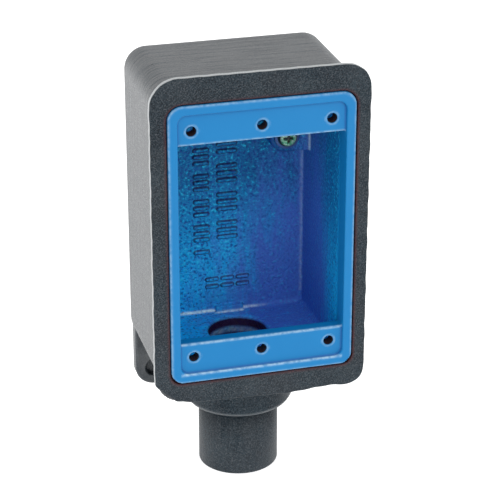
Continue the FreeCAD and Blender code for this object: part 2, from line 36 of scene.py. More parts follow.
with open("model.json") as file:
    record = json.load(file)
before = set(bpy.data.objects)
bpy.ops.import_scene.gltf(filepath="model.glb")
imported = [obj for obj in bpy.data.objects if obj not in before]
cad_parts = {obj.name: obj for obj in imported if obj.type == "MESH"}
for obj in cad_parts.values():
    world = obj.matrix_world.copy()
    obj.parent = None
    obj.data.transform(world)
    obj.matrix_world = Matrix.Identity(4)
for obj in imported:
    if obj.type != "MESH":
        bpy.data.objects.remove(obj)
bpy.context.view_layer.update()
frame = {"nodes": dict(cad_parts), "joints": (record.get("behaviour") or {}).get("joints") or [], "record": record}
MM = 0.001


# Places and sizes, in mm, that come from the frame

mounts = {mount["name"]: mount for mount in frame["record"]["mounts"]}
joints = {joint["name"]: joint for joint in frame["joints"]}


def node_box(node):
    low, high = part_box(node)
    return np.array(low) / MM, np.array(high) / MM


RIM_LOW, RIM_HIGH = node_box("cavity_lining")
LIP_LOW, LIP_HIGH = node_box("face_lip")
COLLAR_LOW, COLLAR_HIGH = node_box("hub_collar")
SLEEVE_LOW, SLEEVE_HIGH = node_box("hub_sleeve")
WASHER_LOW, WASHER_HIGH = node_box("ground_washer")
SCREW_LOW, SCREW_HIGH = node_box("ground_screw")
HUB_Y = mounts["hub_thread"]["pos_m"][1] / MM
BOSS_X, BOSS_Z = np.array(joints["screw_turn"]["pos_m"])[[0, 2]] / MM
BOSS_FACE = WASHER_HIGH[1]
SCREW_PITCH = 2 * math.pi / frame["record"]["behaviour"]["couplings"][0]["ratio"] / MM
HOLE_DIMS = mounts["cover_screw_holes"]["dims"]
HOLE_COLUMNS = (-HOLE_DIMS["spacing_x_mm"] / 2, 0.0, HOLE_DIMS["spacing_x_mm"] / 2)
HOLE_ROWS = (-HOLE_DIMS["spacing_y_mm"] / 2, HOLE_DIMS["spacing_y_mm"] / 2)
LUG_X = mounts["lug_holes"]["dims"]["spacing_x_mm"] / 2
LUG_Z = mounts["lug_holes"]["pos_m"][2] / MM

# Sizes of the casting and its coats, in mm, as the design has them

FLANGE_FRONT = -53.2
FLANGE_BACK = -50.0
FLANGE_HALF = (35.7, 57.95)
FLANGE_CORNER = 7.6
BODY_HALF = (34.7, 54.35)
BODY_CORNER = 6.5
BODY_BACK_ROUND = 3.0
COAT = 1.5
FILM = 0.3
RIM_HALF = (RIM_HIGH[0], RIM_HIGH[2])
RIM_CORNER = 5.3
SEAM = 0.3
CAVITY_HALF = (29.2, 49.6)
CAVITY_CORNER = 3.0
CAVITY_BACK = -4.5
RECESS_HALF_TALL = 47.7
MOUTH_HALF_TALL = 36.5
LEDGE_FRONT = -53.6
LEDGE_BACK = -48.6
LEDGE_HOLE = HOLE_DIMS["hole_r_mm"]
BOSS_RADIUS = 6.3
GROUND_HOLE = 2.45
FOOT_X = (-4.4, 6.2)
FOOT_TALL = 2.4
FOOT_RISE = 1.8
THROAT_RADIUS = 10.8
LUG_RADIUS = 5.6
LUG_THICK = 2.6
LUG_HOLE = mounts["lug_holes"]["dims"]["hole_r_mm"]
HUB_END = -75.0
SLEEVE_BORE = mounts["sleeve_bore"]["dims"]["r_mm"]

# Where a shape or a cut stops inside another one, in mm

DEEP_START = 1.0
RECESS_DEEP = 2.0
LEDGE_HOLE_END = -45.0
BOSS_REACH = 40.0
GROUND_HOLE_END = -12.0
THROAT_TOP = -45.0
THROAT_END = -68.0
BUSH_WALL = 3.0
BUSH_END = -60.0
LUG_TOP = -50.0
COLLAR_TOP = -50.0
COLLAR_START = -57.0
COLLAR_REACH = 23.0

# What the coats add, in mm: a film across the lugs' holes, a bead round each of the ledges'
# holes, and the waver of the knife that trimmed the lip

LUG_FILM = 0.8
BEAD_AWAY = 0.5
BEAD_SUNK = 0.2
BEAD_RADIUS = 0.35
BEAD_FILLET = 0.3
KNIFE_WAVER = 0.12

# Sizes of the screw and the washer, in mm. The cross tapers by a share of the depth.

HEAD_RADIUS = (SCREW_HIGH[0] - SCREW_LOW[0]) / 2
HEAD_BALL = 4.6
HEAD_ROUND = 0.5
HEAD_SEAT_ROUND = 0.2
CROSS_HALF_ARM = 0.70
CROSS_REACH = 2.15
CROSS_DEPTH = 1.5
CROSS_TAPER = 0.28
CROSS_ROUND = 0.15
CROSS_FILLET = 0.2
CROSS_RIM_ROUND = 0.12
THREAD_ROOT = 1.95
THREAD_TALL = 0.45
SHANK_END_ROUND = 0.3
SHANK_IN_HEAD = 0.2
SHANK_FILLET = 0.1
WASHER_BORE = 2.55
WASHER_RADIUS = (WASHER_HIGH[0] - WASHER_LOW[0]) / 2
WASHER_ROUND = 0.18

# Roundings of edges and fillets in corners, in mm

FLANGE_ROUND = 1.0
FLANGE_FILLET = 1.2
LUG_ROUND = 1.1
LUG_FILLET = 1.0
LUG_HOLE_ROUND = 0.5
COLLAR_FILLET = 1.5
BACK_ROUND = 0.8
LIP_ROUND = 0.5
RIM_ROUND = 0.9
SPACE_ROUND = 0.5
CAVITY_BACK_ROUND = 1.6
LEDGE_ROUND = 1.0
THROAT_ROUND = 1.3
BOSS_ROUND = 0.6
BOSS_FILLET = 0.8
FOOT_ROUND = 0.4
GROUND_HOLE_ROUND = 0.3
LEDGE_HOLE_ROUND = 0.2
SLEEVE_ROUND = 0.35


# Distance functions: coordinates in mm go in, and a distance comes out that is negative inside


def both(a, b, radius=0.0):
    """Where two shapes overlap. The edge between them is rounded."""
    if radius == 0:
        return np.maximum(a, b)
    past = np.hypot(np.maximum(a + radius, 0), np.maximum(b + radius, 0))
    return np.minimum(np.maximum(a, b), -radius) + past


def either(a, b, radius=0.0):
    """Two shapes joined. The corner between them is filled with a fillet."""
    if radius == 0:
        return np.minimum(a, b)
    short = np.hypot(np.maximum(radius - a, 0), np.maximum(radius - b, 0))
    return np.maximum(np.minimum(a, b), radius) - short


def without(a, b, radius=0.0):
    return both(a, -b, radius)


def rectangle(x, z, half, corner):
    across = np.abs(x) - half[0] + corner
    up = np.abs(z) - half[1] + corner
    outside = np.hypot(np.maximum(across, 0), np.maximum(up, 0))
    return outside + np.minimum(np.maximum(across, up), 0) - corner


def plate(outline, y, front, back, edge=0.0):
    """An outline's distance carried from front to back, with both edges rounded."""
    through = np.abs(y - (front + back) / 2) - (back - front) / 2
    return both(outline, through, edge)


def capsule(x, z, start, stop, radius):
    """Distance in the XZ plane to a straight line with round ends."""
    run = np.subtract(stop, start)
    share = ((x - start[0]) * run[0] + (z - start[1]) * run[1]) / (run @ run)
    share = np.clip(share, 0, 1)
    return np.hypot(x - start[0] - share * run[0], z - start[1] - share * run[1]) - radius


def polygon(x, z, points):
    """Distance in the XZ plane to a closed outline of straight runs."""
    x, z = np.broadcast_arrays(x, z)
    nearest = np.full(x.shape, 1e9)
    inside = np.zeros(x.shape, bool)
    for (ax, az), (bx, bz) in zip(points, np.roll(points, -1, axis=0)):
        nearest = np.minimum(nearest, capsule(x, z, (ax, az), (bx, bz), 0.0))
        if az != bz:
            spans = (az > z) != (bz > z)
            inside ^= spans & (x < (bx - ax) * (z - az) / (bz - az) + ax)
    return np.where(inside, -nearest, nearest)


def rounded_path(corners, turn=math.radians(10)):
    """Points of a closed outline through (x, y, radius) corners: straight runs joined by arcs."""
    points = []
    for i, (x, y, radius) in enumerate(corners):
        here = np.array((x, y))
        back = np.array(corners[i - 1][:2]) - here
        on = np.array(corners[(i + 1) % len(corners)][:2]) - here
        back /= np.linalg.norm(back)
        on /= np.linalg.norm(on)
        half = math.acos(np.clip(back @ on, -1, 1)) / 2
        if radius == 0:
            points.append(here)
            continue
        middle = here + (back + on) / np.linalg.norm(back + on) * radius / math.sin(half)
        start = here + back * radius / math.tan(half) - middle
        sweep = (math.pi - 2 * half) * np.sign(back[1] * on[0] - back[0] * on[1])
        steps = max(1, round(abs(sweep) / turn))
        for step in range(steps + 1):
            angle = math.atan2(start[1], start[0]) + sweep * step / steps
            points.append(middle + radius * np.array((math.cos(angle), math.sin(angle))))
    return np.array(points)


# Meshes


def grid_lines(low, high, coarse, fine, bands=()):
    """Positions from low to past high: fine steps inside the bands, and coarse steps elsewhere."""
    marks = [low]
    while marks[-1] < high:
        close = any(start <= marks[-1] + coarse and marks[-1] < stop for start, stop in bands)
        marks.append(marks[-1] + (fine if close else coarse))
    return np.array(marks)


def slope_of(distance, points, reach=0.02):
    slope = np.empty_like(points)
    for axis in range(3):
        step = np.zeros(3)
        step[axis] = reach
        ahead = distance(*(points + step).T)
        behind = distance(*(points - step).T)
        slope[:, axis] = (ahead - behind) / (2 * reach)
    return slope


def settle(distance, points, most):
    """Moves points onto the surface where the distance is zero."""
    for _ in range(4):
        slope = slope_of(distance, points)
        square = np.maximum((slope**2).sum(1), 0.05)
        step = (distance(*points.T) / square)[:, None] * slope
        points = points - np.clip(step, -most, most)
    return points


def surface(distance, lines):
    """Points, four-sided faces and normals of the surface where a distance function is zero."""
    xs, ys, zs = lines
    field = distance(xs[:, None, None], ys[None, :, None], zs[None, None, :])
    field = np.ascontiguousarray(np.broadcast_to(field, (len(xs), len(ys), len(zs))))
    inside = field < 0
    counts = tuple(n - 1 for n in field.shape)
    corners = [np.array((i, j, k)) for i in (0, 1) for j in (0, 1) for k in (0, 1)]
    filled = np.zeros(counts, int)
    for corner in corners:
        filled += inside[tuple(slice(c, c + n) for c, n in zip(corner, counts))]
    cells = np.argwhere((filled > 0) & (filled < 8))
    number = np.full(counts, -1)
    number[tuple(cells.T)] = np.arange(len(cells))

    total = np.zeros((len(cells), 3))
    hits = np.zeros(len(cells))
    for a in corners:
        for b in corners:
            if (b - a).sum() != 1 or np.abs(b - a).sum() != 1:
                continue
            ia, ib = (cells + a).T, (cells + b).T
            fa, fb = field[tuple(ia)], field[tuple(ib)]
            crossed = (fa < 0) != (fb < 0)
            share = np.where(crossed, fa / np.where(crossed, fa - fb, 1), 0)[:, None]
            pa = np.stack([line[i] for line, i in zip(lines, ia)], axis=1)
            pb = np.stack([line[i] for line, i in zip(lines, ib)], axis=1)
            total[crossed] += (pa + (pb - pa) * share)[crossed]
            hits += crossed
    most = max(np.diff(line).max() for line in lines) / 2
    points = settle(distance, total / hits[:, None], most)

    faces = []
    for axis in range(3):
        u, v = (k for k in range(3) if k != axis)
        ahead = np.roll(inside, -1, axis)
        edges = np.argwhere(inside != ahead)
        fits = (edges[:, axis] < counts[axis]) & (edges[:, u] > 0) & (edges[:, v] > 0)
        fits &= (edges[:, u] < counts[u]) & (edges[:, v] < counts[v])
        edges = edges[fits]
        ring = []
        for du, dv in ((-1, -1), (0, -1), (0, 0), (-1, 0)):
            cell = edges.copy()
            cell[:, u] += du
            cell[:, v] += dv
            ring.append(number[tuple(cell.T)])
        ring = np.stack(ring, axis=1)
        outward = inside[tuple(edges.T)] != (axis == 1)
        faces.append(np.where(outward[:, None], ring, ring[:, ::-1]))
    normals = slope_of(distance, points)
    normals /= np.linalg.norm(normals, axis=1)[:, None]
    return points, np.concatenate(faces), normals


def new_piece(name, shape, body, material):
    """A mesh from points in mm, faces and normals. It rides on a body and takes the given material."""
    points, faces, *normals = shape
    mesh = bpy.data.meshes.new(name)
    mesh.from_pydata((points * MM).tolist(), [], faces.tolist())
    mesh.materials.append(material)
    mesh.polygons.foreach_set("use_smooth", [True] * len(mesh.polygons))
    if normals:
        mesh.normals_split_custom_set_from_vertices(normals[0].tolist())
    piece = bpy.data.objects.new(name, mesh)
    bpy.context.scene.collection.objects.link(piece)
    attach(piece, body)
    return piece


def mark(piece, name, rule):
    """Gives each point of a piece a number, held between -1 and 1, for its material to read."""
    mesh = piece.data
    points = np.empty(len(mesh.vertices) * 3)
    mesh.vertices.foreach_get("co", points)
    x, y, z = points.reshape(-1, 3).T / MM
    values = np.clip(rule(x, y, z), -1, 1) * np.ones(len(x))
    mesh.attributes.new(name, "FLOAT", "POINT").data.foreach_set("value", values)


def keep_only(shape, kept):
    """Drops the faces that touch a point that isn't kept, and the points left over."""
    points, faces, normals = shape
    faces = faces[kept[faces].all(1)]
    used = np.unique(faces)
    number = np.zeros(len(points), int)
    number[used] = np.arange(len(used))
    return points[used], number[faces], normals[used]


def thicken(shape, thick):
    """Gives an open surface a second side, behind it, and closes its edges."""
    points, faces, normals = shape
    count = len(points)
    edges = np.concatenate([faces[:, (j, (j + 1) % 4)] for j in range(4)])
    known = set(map(tuple, edges.tolist()))
    open_edges = np.array([(a, b) for a, b in known if (b, a) not in known])
    start, stop = open_edges.T
    sides = np.stack([stop, start, start + count, stop + count], axis=1)
    faces = np.concatenate([faces, faces[:, ::-1] + count, sides])
    points = np.concatenate([points, points - normals * thick])
    return points, faces, np.concatenate([normals, -normals])


def lathe(profile, middle, segments=160):
    """A closed (radius, z) loop turned round an upright line through (x, y)."""
    count = len(profile)
    angles = np.arange(segments) * 2 * math.pi / segments
    points = []
    for a in angles:
        for r, z in profile:
            points.append((middle[0] + r * math.cos(a), middle[1] + r * math.sin(a), z))
    faces = []
    for i in range(segments):
        ahead = (i + 1) % segments
        for j in range(count):
            k = (j + 1) % count
            faces.append((i * count + j, ahead * count + j, ahead * count + k, i * count + k))
    return np.array(points), np.array(faces)


def grid_round(low, high, steps):
    """Even grid lines over a box and a margin round it."""
    margin = 0.3
    return tuple(grid_lines(a - margin, b + margin, step, step) for a, b, step in zip(low, high, steps))


# Outlines of the lip and the rim, and of the collar from its axis outward

LIP_CORNERS = [
    (-38.7, 60.8, 10.0),
    (38.0, 60.6, 9.0),
    (37.6, -60.4, 6.5),
    (24.0, -59.4, 10.0),
    (10.0, -60.4, 10.0),
    (-23.0, -59.4, 4.0),
    (-31.0, -58.2, 3.0),
    (-38.6, -51.2, 2.5),
]
RIM_CORNERS = [
    (-RIM_HALF[0], RIM_HALF[1], 5.0),
    (RIM_HALF[0], RIM_HALF[1], 5.0),
    (RIM_HALF[0], -RIM_HALF[1], 3.4),
    (-RIM_HALF[0], -RIM_HALF[1], 4.0),
]
COLLAR_CORNERS = [
    (0.0, COLLAR_TOP, 0.0),
    (0.0, COLLAR_LOW[2], 0.0),
    (SLEEVE_HIGH[0], COLLAR_LOW[2], 0.0),
    (18.9, -75.9, 1.2),
    (20.0, -74.1, 1.2),
    (COLLAR_HIGH[0], -57.35, 0.0),
    (COLLAR_HIGH[0], COLLAR_TOP, 0.0),
]
LIP_PATH = rounded_path(LIP_CORNERS)
RIM_PATH = rounded_path(RIM_CORNERS)
COLLAR_PATH = rounded_path(COLLAR_CORNERS)

# Plain level bars that stand for the casting's raised marks on the back wall: upright columns
# of them, each given as middle x, top z, length, step and count

MARK_COLUMNS = [
    (-9.2, 25.0, 4.4, 2.5, 21),
    (0.4, 19.5, 6.2, 2.8, 15),
    (-5.4, -36.4, 3.4, 2.9, 2),
    (0.4, -36.4, 3.4, 2.9, 2),
    (6.2, -36.4, 3.4, 2.9, 2),
]
MARK_HALF_WIDE = 0.4
MARK_RISE = 0.7
MARK_SUNK = 0.3
MARK_DRAFT = 0.9
MARK_ROUND = 0.15


def mark_bars():
    """Start and stop of each bar. Every fourth place in a column is left empty."""
    bars = []
    for middle, top, length, step, count in MARK_COLUMNS:
        for i in range(count):
            if i % 4 < 3:
                level = top - i * step
                bars.append(((middle - length / 2, level), (middle + length / 2, level)))
    return bars


# Shapes of the coats, the marks, the screw and the washer


def grown(half, by):
    return half[0] + by, half[1] + by


def coat_outside(x, y, z):
    """The vinyl's outer side: box, flange edge, two lugs and the collar, as one shape."""
    walls = rectangle(x, z, grown(BODY_HALF, COAT), BODY_CORNER + COAT)
    walls = both(walls, y, BODY_BACK_ROUND + COAT)
    flange = rectangle(x, z, grown(FLANGE_HALF, COAT), FLANGE_CORNER + COAT)
    flange = both(flange, y - FLANGE_BACK - COAT, FLANGE_ROUND)
    shape = either(walls, flange, FLANGE_FILLET)
    shape = both(shape, LIP_HIGH[1] - y)
    side = np.abs(x)
    lug = capsule(side, z, (LUG_X, LUG_Z), (LUG_X, LUG_TOP), LUG_RADIUS + COAT)
    lug = plate(lug, y, -LUG_THICK - COAT * 2, 0.0, LUG_ROUND)
    film = LUG_FILM / 2 - np.abs(y + LUG_THICK / 2 + COAT)
    hole = both(np.hypot(side - LUG_X, z - LUG_Z) - LUG_HOLE, film)
    shape = without(either(shape, lug, LUG_FILLET), hole, LUG_HOLE_ROUND)
    bowl = polygon(np.hypot(x, y - HUB_Y), z, COLLAR_PATH)
    return both(either(shape, bowl, COLLAR_FILLET), y, BACK_ROUND)


def cavity_void(x, y, z):
    """The wiring space with its mouth, recess and throat. The boss and foot are left out."""
    deep = rectangle(x, z, CAVITY_HALF, CAVITY_CORNER)
    deep = both(deep, y - CAVITY_BACK, CAVITY_BACK_ROUND)
    deep = both(deep, LEDGE_FRONT + DEEP_START - y)
    recess = rectangle(x, z, (CAVITY_HALF[0], RECESS_HALF_TALL), CAVITY_CORNER)
    recess = both(recess, y - LEDGE_FRONT - RECESS_DEEP)
    ledge = MOUTH_HALF_TALL - np.abs(z)
    ledge = plate(ledge, y, LEDGE_FRONT, LEDGE_BACK, LEDGE_ROUND)
    space = without(either(deep, recess), ledge, SPACE_ROUND)
    throat = np.hypot(x, y - HUB_Y) - THROAT_RADIUS
    throat = both(both(throat, z - THROAT_TOP), THROAT_END - z)
    return either(space, throat, THROAT_ROUND)


def boss_outline(x, z):
    """The ground boss from the front. It runs on to the right into the wall."""
    return capsule(x, z, (BOSS_X, BOSS_Z), (BOSS_REACH, BOSS_Z), BOSS_RADIUS)


def lined(x, y, z):
    """The coated inside of the box: a solid block that the wiring space is cut from."""
    block = both(polygon(x, z, RIM_PATH), RIM_LOW[1] - y, RIM_ROUND)
    bush = both(np.hypot(x, y - HUB_Y) - THROAT_RADIUS - BUSH_WALL, BUSH_END - z)
    shape = without(either(block, bush), cavity_void(x, y, z), SPACE_ROUND)
    shape = either(shape, plate(boss_outline(x, z), y, BOSS_FACE, 0.0, BOSS_ROUND), BOSS_FILLET)
    across = np.abs(x - sum(FOOT_X) / 2) - (FOOT_X[1] - FOOT_X[0]) / 2
    foot = np.maximum(across, z + CAVITY_HALF[1] - FOOT_TALL)
    foot = plate(foot, y, CAVITY_BACK - FOOT_RISE, 0.0, FOOT_ROUND)
    shape = either(shape, foot, FOOT_ROUND)
    hole = np.hypot(x - BOSS_X, z - BOSS_Z) - GROUND_HOLE
    shape = without(shape, both(hole, y - GROUND_HOLE_END), GROUND_HOLE_ROUND)
    for column in HOLE_COLUMNS:
        for row in HOLE_ROWS:
            from_hole = np.hypot(x - column, z - row)
            bead = np.hypot(from_hole - LEDGE_HOLE - BEAD_AWAY, y - LEDGE_FRONT - BEAD_SUNK)
            shape = either(shape, bead - BEAD_RADIUS, BEAD_FILLET)
            drilled = both(from_hole - LEDGE_HOLE, y - LEDGE_HOLE_END)
            shape = without(shape, drilled, LEDGE_HOLE_ROUND)
    return shape


def front_lip(x, y, z):
    """The trimmed vinyl lip round the rim, with a seat for the flange behind it."""
    knife = KNIFE_WAVER + KNIFE_WAVER * np.sin(x * 0.9 + np.sin(z * 0.37)) * np.sin(z * 0.7 + 2)
    outline = np.maximum(polygon(x, z, LIP_PATH) + knife, SEAM - polygon(x, z, RIM_PATH))
    shape = plate(outline, y, LIP_LOW[1], LIP_HIGH[1], LIP_ROUND)
    seat = both(rectangle(x, z, FLANGE_HALF, FLANGE_CORNER), FLANGE_FRONT - y)
    return without(shape, seat)


def cast_marks(x, y, z):
    """The bars, which widen towards the wall and are sunk a little into it."""
    total = np.full(np.broadcast_shapes(x.shape, z.shape), 1e9)
    for start, stop in mark_bars():
        total = np.minimum(total, capsule(x, z, start, stop, MARK_HALF_WIDE))
    drafted = total - MARK_DRAFT * (y - CAVITY_BACK + MARK_RISE)
    steep = 0.74
    return plate(drafted * steep, y, CAVITY_BACK - MARK_RISE, CAVITY_BACK + MARK_SUNK, MARK_ROUND)


def screw_shape(x, y, z):
    """Round head with a tapered cross recess, and a thread turned behind it."""
    x = x - BOSS_X
    z = z - BOSS_Z
    radius = np.hypot(x, z)
    front = SCREW_LOW[1]
    seat = WASHER_LOW[1]
    ball = np.sqrt(radius**2 + (y - front - HEAD_BALL) ** 2) - HEAD_BALL
    head = both(both(radius - HEAD_RADIUS, ball, HEAD_ROUND), y - seat, HEAD_SEAT_ROUND)
    taper = (y - front) * CROSS_TAPER
    arm = CROSS_HALF_ARM - taper * 0.8
    reach = CROSS_REACH - taper * 1.6
    along_x = both(np.abs(z) - arm, np.abs(x) - reach, CROSS_ROUND)
    along_z = both(np.abs(x) - arm, np.abs(z) - reach, CROSS_ROUND)
    cross = both(either(along_x, along_z, CROSS_FILLET), y - front - CROSS_DEPTH)
    turn = np.arctan2(z, x) / (2 * math.pi)
    phase = np.abs((y / SCREW_PITCH + turn) % 1.0 - 0.5) * 2
    shank = both(radius - THREAD_ROOT - THREAD_TALL * phase, y - SCREW_HIGH[1], SHANK_END_ROUND)
    steep = 0.7
    shank = both(shank, seat - SHANK_IN_HEAD - y) * steep
    return either(without(head, cross, CROSS_RIM_ROUND), shank, SHANK_FILLET)


def washer_shape(x, y, z):
    radius = np.hypot(x - BOSS_X, z - BOSS_Z)
    middle = (WASHER_RADIUS + WASHER_BORE) / 2
    ring = np.abs(radius - middle) - (WASHER_RADIUS - WASHER_BORE) / 2
    return plate(ring, y, WASHER_LOW[1], WASHER_HIGH[1], WASHER_ROUND)


# Rules for the numbers that the surfaces carry for their materials


def line(a, b, width):
    """1 on the line that two distances reach 0 on, and fading to 0 around it."""
    return np.exp(-(a**2 + b**2) / width**2)


def lip_edge_highlight(x, y, z):
    """The lip's outer edge, which was trimmed, with a painted highlight along it."""
    at_outline = polygon(x, z, LIP_PATH) > -0.55
    behind_front = y > LIP_LOW[1] + 0.45
    return 0.8 * (at_outline & behind_front)


def beside_rim(x, y, z):
    """The stain on the lip along its inner edge."""
    width = 0.8
    return np.clip(1.3 - (polygon(x, z, RIM_PATH) - SEAM) / width, 0, 1)


def collar_highlight(x, y, z):
    """Painted highlight round the collar's lower edge."""
    level = -75.1
    return 0.25 * line(z - level, 0.0, 0.35)


def painted_highlight_edges(x, y, z):
    """Painted highlights on the coat's sharper edges, and along the floor's back edge."""
    floor_share = np.where(x < FOOT_X[0], 1.0, np.clip((16.0 - x) / 12.0, 0, 1))
    total = 1.6 * line(y - CAVITY_BACK + 0.5, z + CAVITY_HALF[1] - 0.5, 0.45) * floor_share
    on_foot = (x > FOOT_X[0] - 0.5) & (x < FOOT_X[1] + 0.5)
    total += 0.8 * line(y - CAVITY_BACK + FOOT_RISE + 0.2, z + CAVITY_HALF[1] - 0.2, 0.5) * on_foot
    total += 0.6 * line(x - CAVITY_HALF[0] + 0.8, y - CAVITY_BACK + 0.8, 0.5) * (z > -45) * (z < 18)
    on_boss = np.abs(z - BOSS_Z) < BOSS_RADIUS
    total += 0.7 * line(x - CAVITY_HALF[0] + 0.2, y - BOSS_FACE, 0.5) * on_boss
    total += 0.4 * line(np.abs(z) - MOUTH_HALF_TALL - 0.3, y - LEDGE_FRONT - 0.3, 0.4)
    in_recess = np.abs(x) < CAVITY_HALF[0]
    total += 0.5 * line(z + RECESS_HALF_TALL, y - RIM_LOW[1] - 0.3, 0.5) * in_recess
    total += 0.25 * line(polygon(x, z, RIM_PATH) + 0.3, y - RIM_LOW[1] - 0.3, 0.4)
    for column in HOLE_COLUMNS:
        for row in HOLE_ROWS:
            from_hole = np.hypot(x - column, z - row)
            total += 0.28 * line(from_hole - LEDGE_HOLE - 0.4, y - LEDGE_FRONT, 0.28)
    throat = np.hypot(x, y - HUB_Y) - THROAT_RADIUS
    total += 0.5 * line(throat, z + 55.0, 0.9) * (y > HUB_Y)
    return total


def painted_shade_edges(x, y, z):
    """Painted shade at the foot of the step round the recess, and along the left part of the boss's outline."""
    recess = rectangle(x, z, (CAVITY_HALF[0], RECESS_HALF_TALL), CAVITY_CORNER)
    step = 0.75 * line(recess, y - LEDGE_FRONT, 0.45) * (np.abs(z) > MOUTH_HALF_TALL + 0.5)
    on_boss = (y < CAVITY_BACK - 1.0) * (x < BOSS_X + 3)
    return step + 0.9 * line(boss_outline(x, z) + 0.2, 0.0, 0.9) * on_boss


def purple_shade_share(x, y, z):
    """Painted purple shade: low on the right of the back wall, and on the right wall."""
    across = x / CAVITY_HALF[0]
    up = z / CAVITY_HALF[1]
    back = 0.20 + 0.60 * across - 0.50 * up
    right = (0.9 - 0.5 * up) * np.clip((y + 44) / 20, 0, 1)
    return np.where(x > CAVITY_HALF[0] - 1.5, right, back)


def throat_shade(x, y, z):
    """Bands of painted shade inside the throat."""
    near = np.hypot(x, y - HUB_Y) < THROAT_RADIUS + 1.0
    upper = np.clip((-50.2 - z) / 0.6, 0, 1) * np.clip((z + 54.0) / 0.6, 0, 1)
    lower = np.clip((-56.0 - z) / 0.6, 0, 1)
    between = np.clip((-53.4 - z) / 0.6, 0, 1) * 0.4
    return near * np.maximum(np.maximum(upper, lower), between)


def mark_flank_shade(x, y, z):
    """Painted shade on the marks' sloping sides."""
    return 0.7 * (y > CAVITY_BACK - MARK_RISE + 0.12)


# Materials


def add_node(tree, kind, settings=None, **inputs):
    """Adds a node. Each input is a value, or another node's output to join to it."""
    node = tree.nodes.new(kind)
    for key, value in (settings or {}).items():
        setattr(node, key, value)
    for key, value in inputs.items():
        socket = node.inputs[key.replace("_", " ")]
        if isinstance(value, bpy.types.NodeSocket):
            tree.links.new(value, socket)
        else:
            socket.default_value = value
    return node


def new_material(name, **inputs):
    """A material with its shader, its node tree and the object's own coordinates in metres."""
    material = bpy.data.materials.new(name)
    material.use_nodes = True
    tree = material.node_tree
    shader = tree.nodes["Principled BSDF"]
    for key, value in inputs.items():
        shader.inputs[key.replace("_", " ")].default_value = value
    place = tree.nodes.new("ShaderNodeTexCoord").outputs["Object"]
    return material, tree, shader, place


def grain(tree, place, size, stretch=(1, 1, 1), detail=3.0, rough=0.55, seed=0.0):
    """Noise from 0 to 1 whose lumps are about size mm, drawn out along an axis by its stretch."""
    scale = [1 / (size * MM * s) for s in stretch]
    moved = add_node(tree, "ShaderNodeMapping", Vector=place, Scale=scale, Location=(seed, seed, seed))
    noise = add_node(
        tree, "ShaderNodeTexNoise", Vector=moved.outputs[0], Scale=1.0, Detail=detail, Roughness=rough
    )
    return noise.outputs["Fac"]


def remap(tree, value, start, stop, low=0.0, high=1.0):
    """value from start to stop becomes low to high, and is held at both ends."""
    node = add_node(tree, "ShaderNodeMapRange", Value=value)
    for key, number in (("From Min", start), ("From Max", stop), ("To Min", low), ("To Max", high)):
        node.inputs[key].default_value = number
    return node.outputs[0]


def blend(tree, share, a, b):
    """Colour a, turning into colour b as share goes from 0 to 1."""
    node = tree.nodes.new("ShaderNodeMix")
    node.data_type = "RGBA"
    tree.links.new(share, node.inputs["Factor"])
    for socket, value in ((node.inputs[6], a), (node.inputs[7], b)):
        if isinstance(value, bpy.types.NodeSocket):
            tree.links.new(value, socket)
        else:
            socket.default_value = (*value, 1.0)
    return node.outputs[2]


def arithmetic(tree, operation, a, b):
    node = tree.nodes.new("ShaderNodeMath")
    node.operation = operation
    for socket, value in zip(node.inputs, (a, b)):
        if isinstance(value, bpy.types.NodeSocket):
            tree.links.new(value, socket)
        else:
            socket.default_value = value
    return node.outputs[0]


def emboss(tree, shader, heights):
    """Bumps on a shader from (height, depth in mm) pairs, one on top of another."""
    normal = None
    for height, depth in heights:
        bump = add_node(tree, "ShaderNodeBump", Height=height, Distance=depth * MM, Strength=1.0)
        if normal:
            tree.links.new(normal, bump.inputs["Normal"])
        normal = bump.outputs["Normal"]
    tree.links.new(normal, shader.inputs["Normal"])


def number_of(tree, name):
    """The number that mark gave each point."""
    return add_node(tree, "ShaderNodeAttribute", {"attribute_name": name}).outputs["Fac"]


def vinyl(name, ior, pits, streaks=0.0, bloom_share=0.0, shine=0.5, shine_swing=0.1):
    """Dark grey dipped vinyl: fine grain, drawn-out streaks, a chalky bloom and painted highlights on marked
    edges.
    pits and streaks are depths in mm. The bloom is weaker on the back."""
    material, tree, shader, place = new_material(name, IOR=ior)
    fine = grain(tree, place, 0.5, detail=2.0, seed=3.0)
    broad = grain(tree, place, 7.0, stretch=(2, 1, 2), detail=3.0, seed=7.0)
    drawn = grain(tree, place, 1.5, stretch=(12, 1, 12), detail=4.0, seed=1.0)
    base = blend(tree, remap(tree, broad, 0.35, 0.65), (0.001, 0.009, 0.017), (0.006, 0.019, 0.029))
    speckle = remap(tree, fine, 0.48, 0.74)
    base = blend(tree, speckle, base, (0.062, 0.072, 0.082))
    base = blend(tree, remap(tree, fine, 0.46, 0.34), base, (0.0, 0.002, 0.006))
    depth = add_node(tree, "ShaderNodeSeparateXYZ", Vector=place).outputs["Y"]
    bloom_cover = remap(tree, depth, -0.004, -0.0005, bloom_share, bloom_share * 0.2)
    bloom = arithmetic(tree, "MULTIPLY", remap(tree, drawn, 0.26, 0.66, 0.35, 1.0), bloom_cover)
    base = blend(tree, bloom, base, (0.058, 0.063, 0.067))
    stain = arithmetic(tree, "MULTIPLY", number_of(tree, "stain"), remap(tree, fine, 0.3, 0.6))
    base = blend(tree, stain, base, (0.060, 0.010, 0.012))
    # Painted highlight: pale grey where the highlight number is set, on the lip's cut edge and the collar's lower
    # edge.
    base = blend(tree, number_of(tree, "painted_highlight"), base, (0.45, 0.47, 0.48))
    tree.links.new(base, shader.inputs["Base Color"])
    level = remap(tree, drawn, 0.40, 0.62, shine - shine_swing, shine + shine_swing)
    tree.links.new(level, shader.inputs["Specular IOR Level"])
    rough = remap(tree, arithmetic(tree, "ADD", fine, drawn), 0.7, 1.3, 0.26, 0.62)
    tree.links.new(rough, shader.inputs["Roughness"])
    emboss(tree, shader, [(fine, pits), (drawn, streaks)])
    return material


